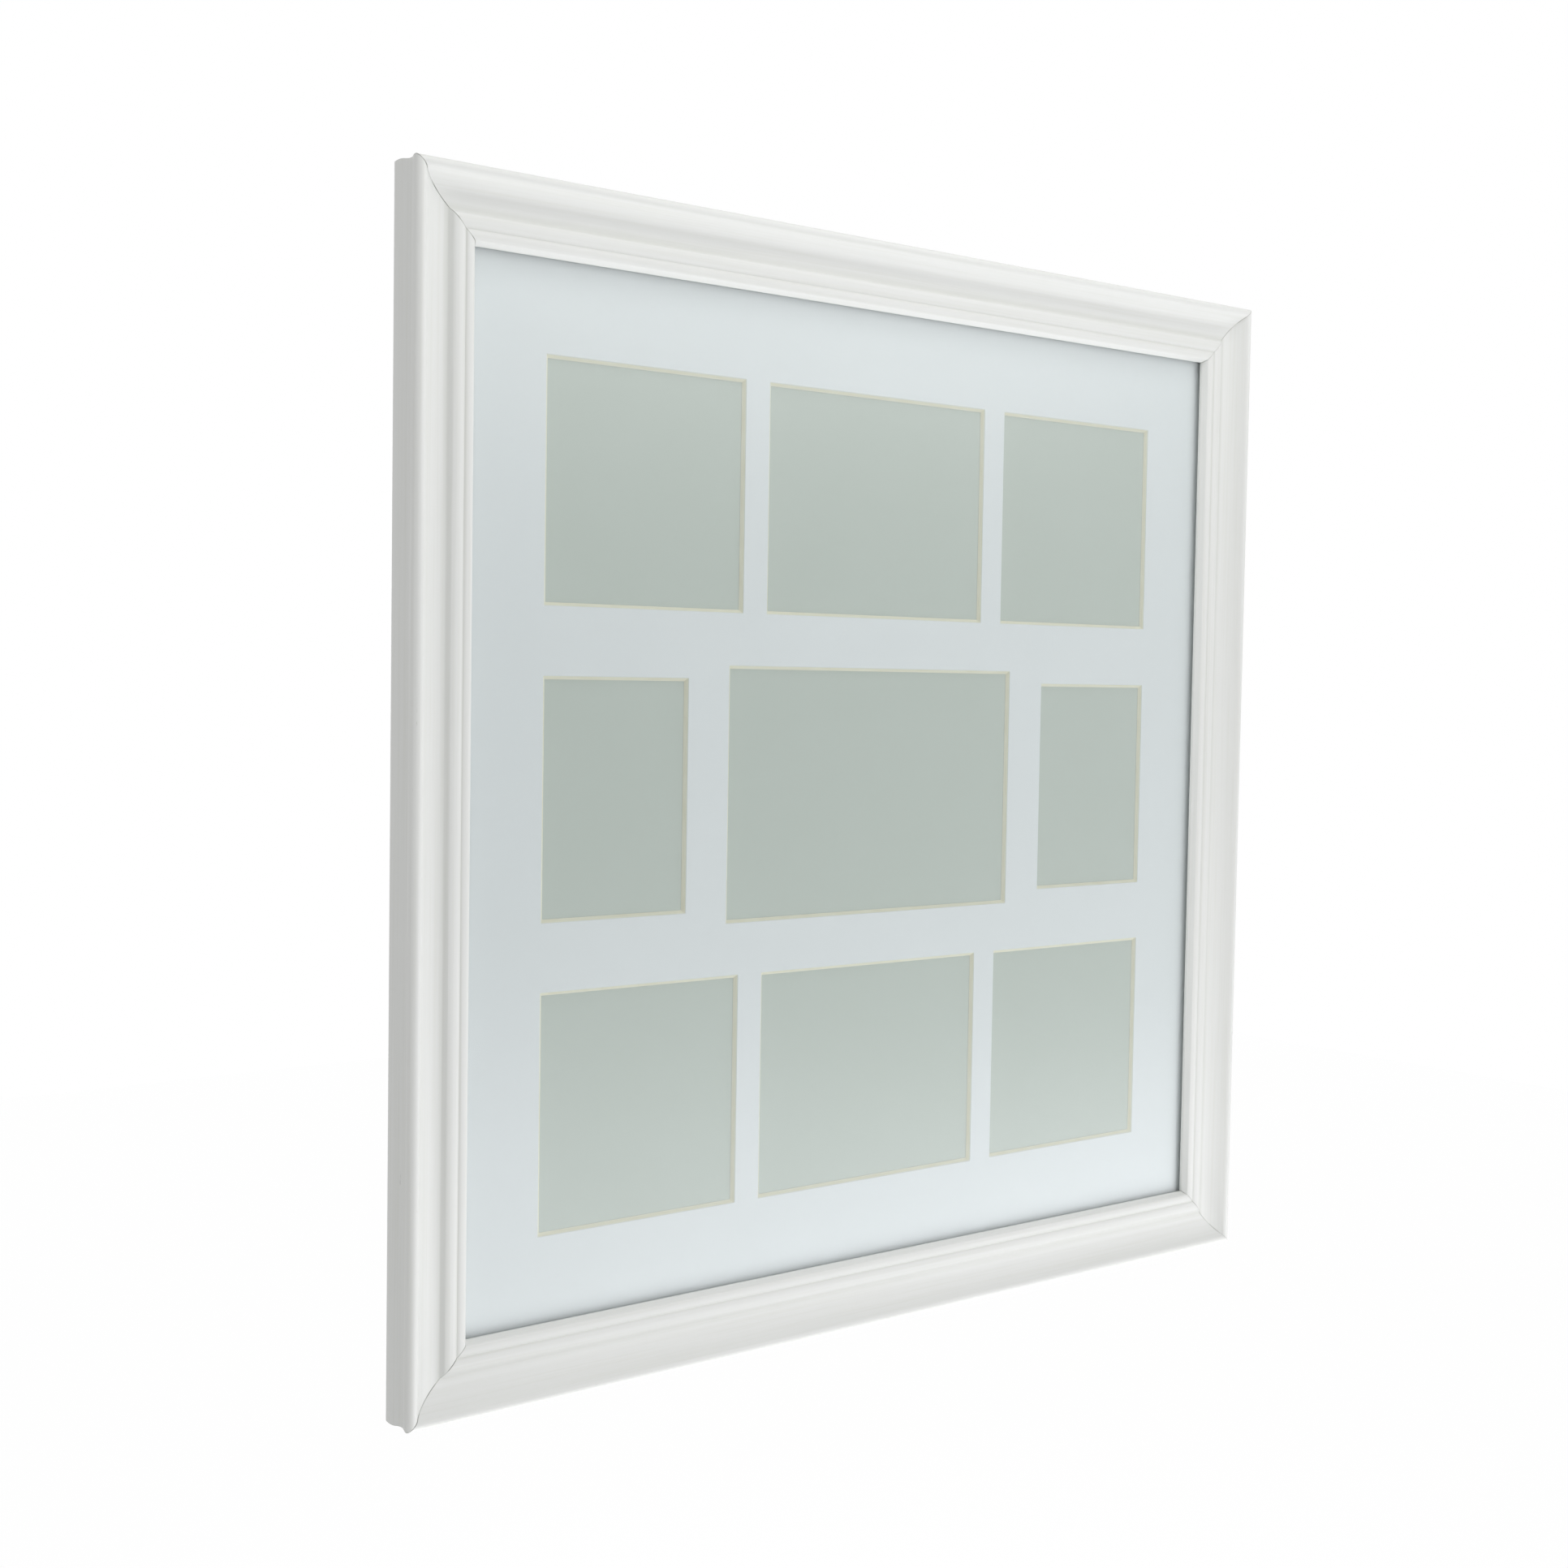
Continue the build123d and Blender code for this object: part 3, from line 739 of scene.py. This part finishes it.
clear.feed(clear.tree.nodes["Material Output"], "Surface", clear_mix.outputs[0])
clear.tree.nodes.remove(clear.surface)
print("clear sheet has", len(clear.tree.nodes), "nodes")

# %% [markdown]
# ## The backing board
# The back is closed with brown hardboard: wood fibre pressed into a sheet. Its smooth face is mottled,
# with darker and paler fibres lying in all directions.

# %% Hardboard
hardboard = Finish("fibreboard", Roughness=0.55, IOR=1.45)
mottle = hardboard.noise(hardboard.scaled(0.012, 0.012, 0.012), 4.0, 0.6)
flecks = hardboard.noise(hardboard.scaled(0.0009, 0.0009, 0.0022), 3.0, 0.65, seed=2.0)
cross_flecks = hardboard.noise(hardboard.scaled(0.0024, 0.0009, 0.0009), 3.0, 0.65, seed=6.0)
brown = hardboard.mix(mottle.between(0.3, 0.7), colour(0.215, 0.120, 0.062), colour(0.290, 0.172, 0.092))
brown = hardboard.mix(flecks.between(0.56, 0.70, 0.0, 0.8), brown, colour(0.120, 0.062, 0.030))
brown = hardboard.mix(cross_flecks.between(0.58, 0.72, 0.0, 0.7), brown, colour(0.430, 0.290, 0.165))
hardboard.paint(Base_Color=brown, Roughness=mottle * 0.2 + 0.45)
hardboard.relief(flecks * 0.5 + cross_flecks * 0.5, 0.05 * mm)
print("hardboard has", len(hardboard.tree.nodes), "nodes")

# %% [markdown]
# ## Turn buttons and their screws
# Eight stamped turn buttons hold the backing board. Each is the outline of a large and a small circle
# with the two lines that touch both, 0.9 mm thick, and it points inwards from its screw. The lines
# leave the circles where the radii point the same way, and that angle follows from the difference of
# the radii over the distance between the centres.

# %% Turn buttons
button_round, tip_round, tip_place, button_thickness = 4.5, 2.5, -12.5, 0.9
button_play, button_hole_spare = 0.05, 0.08
button_level = land - button_play
drill_start, drill_length = 1.0, 4.0
button_names = {
    "top": ("top_left", "top_right"), "right": ("right_upper", "right_lower"),
    "bottom": ("bottom_right", "bottom_left"), "left": ("left_lower", "left_upper"),
}
touch = 180 - degrees(acos((button_round - tip_round) / -tip_place))


def turn_button(turn, along):
    """One stamped button, with its screw hole."""
    start = (button_round * cos(radians(touch)), button_round * sin(radians(touch)))
    pen = back_pen(turn, sight + button_out, along, button_level, start)
    pen.arc(0, 0, -2 * touch, 30)
    pen.line(tip_place + tip_round * cos(radians(touch)), -tip_round * sin(radians(touch)))
    pen.arc(tip_place, 0, 2 * touch - 360, 18)
    plate = thicken(pen.fill(), (0, button_thickness, 0))
    hole_level, hole_radius = button_level + drill_start, screw_radius + button_hole_spare
    return carved(plate, rod(turn, sight + button_out, along, hole_level, hole_radius, drill_length))


for side, names in button_names.items():
    for end, name in zip((-1, 1), names):
        button = turn_button(sides[side], end * button_along)
        node = f"turn_button_{name}"
        finished(button, f"stamped_{node}", node, zinc, node, eased=0.18)

# %% [markdown]
# The screws are turned: half a section is drawn once, spun round, and given a cross recess with
# sloping walls. Their shanks go into the rails, and their pan heads stand on the buttons. Each screw
# stops at an angle of its own, as driven screws do.

# %% Button screws
def turned(points, rounds, steps=40):
    """A solid of revolution about the depth axis, from its half section as (radius, height) places."""
    pen = Pen((0, 0, 0), (1, 0, 0), (0, 1, 0), points[0])
    for place in points[1:]:
        if place in rounds:
            centre, turn, arc_steps = rounds[place]
            pen.arc(*centre, turn, arc_steps)
        else:
            pen.line(*place)
    bmesh.ops.spin(
        pen.mesh, geom=pen.mesh.verts[:] + pen.mesh.edges[:], cent=(0, 0, 0), axis=(0, 1, 0),
        angle=2 * pi, steps=steps, use_merge=True, use_duplicate=False,
    )
    bmesh.ops.remove_doubles(pen.mesh, verts=pen.mesh.verts[:], dist=1e-6)
    bmesh.ops.recalc_face_normals(pen.mesh, faces=pen.mesh.faces[:])
    return pen.mesh


recess_long, recess_narrow, recess_depth, recess_taper, recess_rise = 2.8, 0.7, 0.8, 0.62, 0.2


def cross_recess(top):
    """A tapered cross, for carving a screw's head."""
    half, slim = recess_long / 2, recess_narrow / 2
    pen = Pen((0, (top + recess_rise) * mm, 0), (1, 0, 0), (0, 0, 1), (half, slim))
    for place in ((slim, slim), (slim, half), (-slim, half), (-slim, slim), (-half, slim), (-half, -slim),
                  (-slim, -slim), (-slim, -half), (slim, -half), (slim, -slim), (half, -slim)):
        pen.line(*place)
    cross = thicken(pen.fill(), (0, -recess_depth - recess_rise, 0))
    low = [vert for vert in cross.verts if vert.co.y < (top - recess_depth / 2) * mm]
    bmesh.ops.scale(cross, verts=low, vec=(recess_taper, 1.0, recess_taper))
    return cross


def set_back(mesh, turn, out, along, height):
    """Moves a fitting made at the origin to its place at the back."""
    turn_about_depth(mesh, turn)
    bmesh.ops.translate(mesh, verts=mesh.verts[:], vec=back_plane(turn, out, along, height)[0])
    return mesh


head_radius, head_height, head_round, point_length = 2.8, 1.3, 0.7, 2.0
screw_tip = -screw_hole_depth - button_thickness
dome_start = (head_radius - head_round, head_height)
screw_points = [
    (0, screw_tip), (screw_radius, screw_tip + point_length), (screw_radius, 0), (head_radius, 0),
    (head_radius, head_height - head_round), dome_start, (0, head_height),
]
screw_rounds = {dome_start: ((head_radius - head_round, head_height - head_round), 90, 6)}
screw_level = button_level - button_thickness - button_play
screws = []
for turn in sides.values():
    for end in (-1, 1):
        screw = carved(turned(screw_points, screw_rounds), cross_recess(head_height))
        turn_about_depth(screw, 23 * end + turn / 3)
        screws.append(set_back(screw, turn, sight + button_out, end * button_along, screw_level))
screws = joined_meshes(screws)
finished(screws, "cross_head_screws", "root", zinc, "button_screws", eased=0.05)

# %% [markdown]
# ## Hangers
# Two hangers are riveted to the board, so that the frame can hang either way up. The plate is a
# stamped strip with a bridge pressed up in its middle, and the wire ring's straight side turns under
# the bridge. The bridge is drawn in section with a small fillet at each foot, extruded, and joined to
# the plate.

# %% Hanger plates and rivets
board_back, board_thickness = 2.0, 2.5
plate_thickness, plate_height, plate_length, plate_corner = 0.7, 12.0, 40.0, 3.0
wire, wire_play, ring_axis, bridge_width, fillet = 0.9, 0.08, 1.9, 9.0, 0.4
rivet_along, rivet_radius, rivet_hole_spare, rivet_drill_length = 14.5, 1.5, 0.05, 2.0
hangers = {"top": (0, 185.0), "side": (90, 186.0)}
bridge_in = wire + wire_play
bridge_out = bridge_in + plate_thickness


def hanger_plate(turn, out):
    """A riveted plate with its bridge."""
    half_height, half_length = plate_height / 2, plate_length / 2
    pen = back_pen(turn, out, 0, board_back, (half_height, half_length))
    pen.corner().line(-half_height, half_length).corner().line(-half_height, -half_length).corner()
    pen.line(half_height, -half_length).corner()
    plate = thicken(pen.fill(plate_corner, 8), (0, plate_thickness, 0))
    arch = Pen(
        pen.origin - pen.up * (bridge_width / 2) * mm, pen.across, (0, 1, 0),
        (bridge_out + fillet, plate_thickness),
    )
    arch.arc(bridge_out + fillet, plate_thickness + fillet, -90, 4)
    arch.line(bridge_out, ring_axis).arc(0, ring_axis, 180, 24)
    arch.line(-bridge_out, plate_thickness + fillet)
    arch.arc(-bridge_out - fillet, plate_thickness + fillet, -90, 4)
    arch.line(-bridge_out - fillet, plate_thickness / 2).line(-bridge_in, plate_thickness / 2)
    arch.line(-bridge_in, ring_axis).arc(0, ring_axis, -180, 24)
    arch.line(bridge_in, plate_thickness / 2).line(bridge_out + fillet, plate_thickness / 2)
    whole = carved(plate, thicken(arch.fill(), pen.up * bridge_width), "UNION")
    level, radius = board_back + cutter_rise, rivet_radius + rivet_hole_spare
    holes = [rod(turn, out, end * rivet_along, level, radius, rivet_drill_length) for end in (-1, 1)]
    return carved(whole, joined_meshes(holes))


for name, (turn, out) in hangers.items():
    plate, node = hanger_plate(turn, out), f"hanger_plate_{name}"
    finished(plate, f"stamped_{node}", "root", nickel_sheet, node, eased=0.1)

rivet_head, rivet_rise, rivet_round, tail_radius = 2.8, 0.9, 0.5, 2.3
tail_sink = 0.05
tail = -plate_thickness - board_thickness + tail_sink
cap_start = (rivet_head - rivet_round, rivet_rise)
rivet_points = [
    (0, tail), (tail_radius, tail), (rivet_radius, tail + tail_radius - rivet_radius), (rivet_radius, 0),
    (rivet_head, 0), (rivet_head, rivet_rise - rivet_round), cap_start, (0, rivet_rise),
]
rivet_rounds = {cap_start: ((rivet_head - rivet_round, rivet_rise - rivet_round), 90, 6)}
rivet_level = board_back - plate_thickness
rivets = [
    set_back(turned(rivet_points, rivet_rounds), turn, out, end * rivet_along, rivet_level)
    for turn, out in hangers.values() for end in (-1, 1)
]
finished(joined_meshes(rivets), "tubular_rivets", "root", zinc, "hanger_rivets", eased=0.06)

# %% [markdown]
# A ring is wire bent round a former. Half of it is made from one circle of the wire: extruded along the
# straight bar, spun through the small bend, extruded down the arm and spun through the large one. The
# other half is its mirror image.

# %% Hanger rings
def wire_ring(turn, out):
    """A closed wire ring with one straight side, hanging towards the frame's middle."""
    half_width, length, bend = 8.5, 18.0, 2.0
    outward, onward = Vector((0, 0, 1)), Vector((1, 0, 0))
    ring = bmesh.new()
    circle = bmesh.ops.create_circle(
        ring, cap_ends=False, radius=wire * mm, segments=20, matrix=Matrix.Rotation(pi / 2, 4, "Y")
    )
    last = list({edge for vert in circle["verts"] for edge in vert.link_edges})
    straights = {"bar": onward * (half_width - bend), "arm": -outward * (length - half_width - bend)}
    bends = {
        "bend": (onward * (half_width - bend) - outward * bend, 8),
        "bow": (-outward * (length - half_width), 22),
    }
    for step in ("bar", "bend", "arm", "bow"):
        if step in straights:
            grown = bmesh.ops.extrude_edge_only(ring, edges=last)["geom"]
            moved = [part for part in grown if isinstance(part, bmesh.types.BMVert)]
            bmesh.ops.translate(ring, verts=moved, vec=straights[step] * mm)
            last = [part for part in grown if isinstance(part, bmesh.types.BMEdge)
                    and all(vert in moved for vert in part.verts)]
        else:
            centre, steps = bends[step]
            bent = bmesh.ops.spin(
                ring, geom=last, cent=centre * mm, axis=(0, 1, 0), angle=pi / 2, steps=steps,
                use_duplicate=False,
            )["geom_last"]
            last = [part for part in bent if isinstance(part, bmesh.types.BMEdge)]
    bmesh.ops.mirror(ring, geom=ring.verts[:] + ring.edges[:] + ring.faces[:], merge_dist=1e-5, axis="X")
    bmesh.ops.remove_doubles(ring, verts=ring.verts[:], dist=1e-6)
    bmesh.ops.recalc_face_normals(ring, faces=ring.faces[:])
    return set_back(ring, turn, out, 0, board_back - ring_axis)


for name, (turn, out) in hangers.items():
    node = f"hanger_ring_{name}"
    finished(wire_ring(turn, out), f"bent_{node}", node, nickel_rod, node, sharp=60.0)

# %% [markdown]
# The pieces whose shape the construction model already gives keep it, and only take their finish.

# %% Finishes on the kept pieces
kept = {"glass_sheet": clear, "mount_board": card, "insert_sheet": paper, "backing_board": hardboard}
for node, finish in kept.items():
    for spot in frame["nodes"][node].material_slots:
        spot.material = finish.material
print(len(kept), "kept pieces have their finish")

# %% [markdown]
# ## The floor
# The frame hangs on a wall that the photograph doesn't show, above a pale floor. The floor looks white,
# like the backdrop, but part of it is an ordinary matt surface, so it still takes the frame's soft
# shadow.

# %% Floor
floor_level, floor_reach = -1.3, 6.0
glow_level, glow_share = 1.23, 0.72
floor_mesh = bmesh.new()
bmesh.ops.create_grid(floor_mesh, x_segments=1, y_segments=1, size=floor_reach)
bmesh.ops.translate(floor_mesh, verts=floor_mesh.verts[:], vec=(0, 0, floor_level))
floor_data = bpy.data.meshes.new("floor")
floor_mesh.to_mesh(floor_data)
floor_mesh.free()
floor = bpy.data.objects.new("floor", floor_data)
scene.collection.objects.link(floor)
floor_finish = Finish("pale_floor", Roughness=0.9)
floor_finish.surface.inputs["Base Color"].default_value = colour(0.85, 0.85, 0.85)
white = colour(1.0, 1.0, 1.0)
glow = floor_finish.node("ShaderNodeEmission", None, {"Color": white, "Strength": glow_level})
rays = floor_finish.node("ShaderNodeLightPath")
looked_at = Value(floor_finish, rays.outputs["Is Camera Ray"]).most(
    Value(floor_finish, rays.outputs["Is Glossy Ray"])
).most(Value(floor_finish, rays.outputs["Is Transmission Ray"]))
floor_look = floor_finish.node(
    "ShaderNodeMixShader", None,
    {0: looked_at * glow_share, 1: floor_finish.surface.outputs[0], 2: glow.outputs[0]},
)
floor_finish.feed(floor_finish.tree.nodes["Material Output"], "Surface", floor_look.outputs[0])
floor_data.materials.append(floor_finish.material)
print("floor at", floor_level, "m")
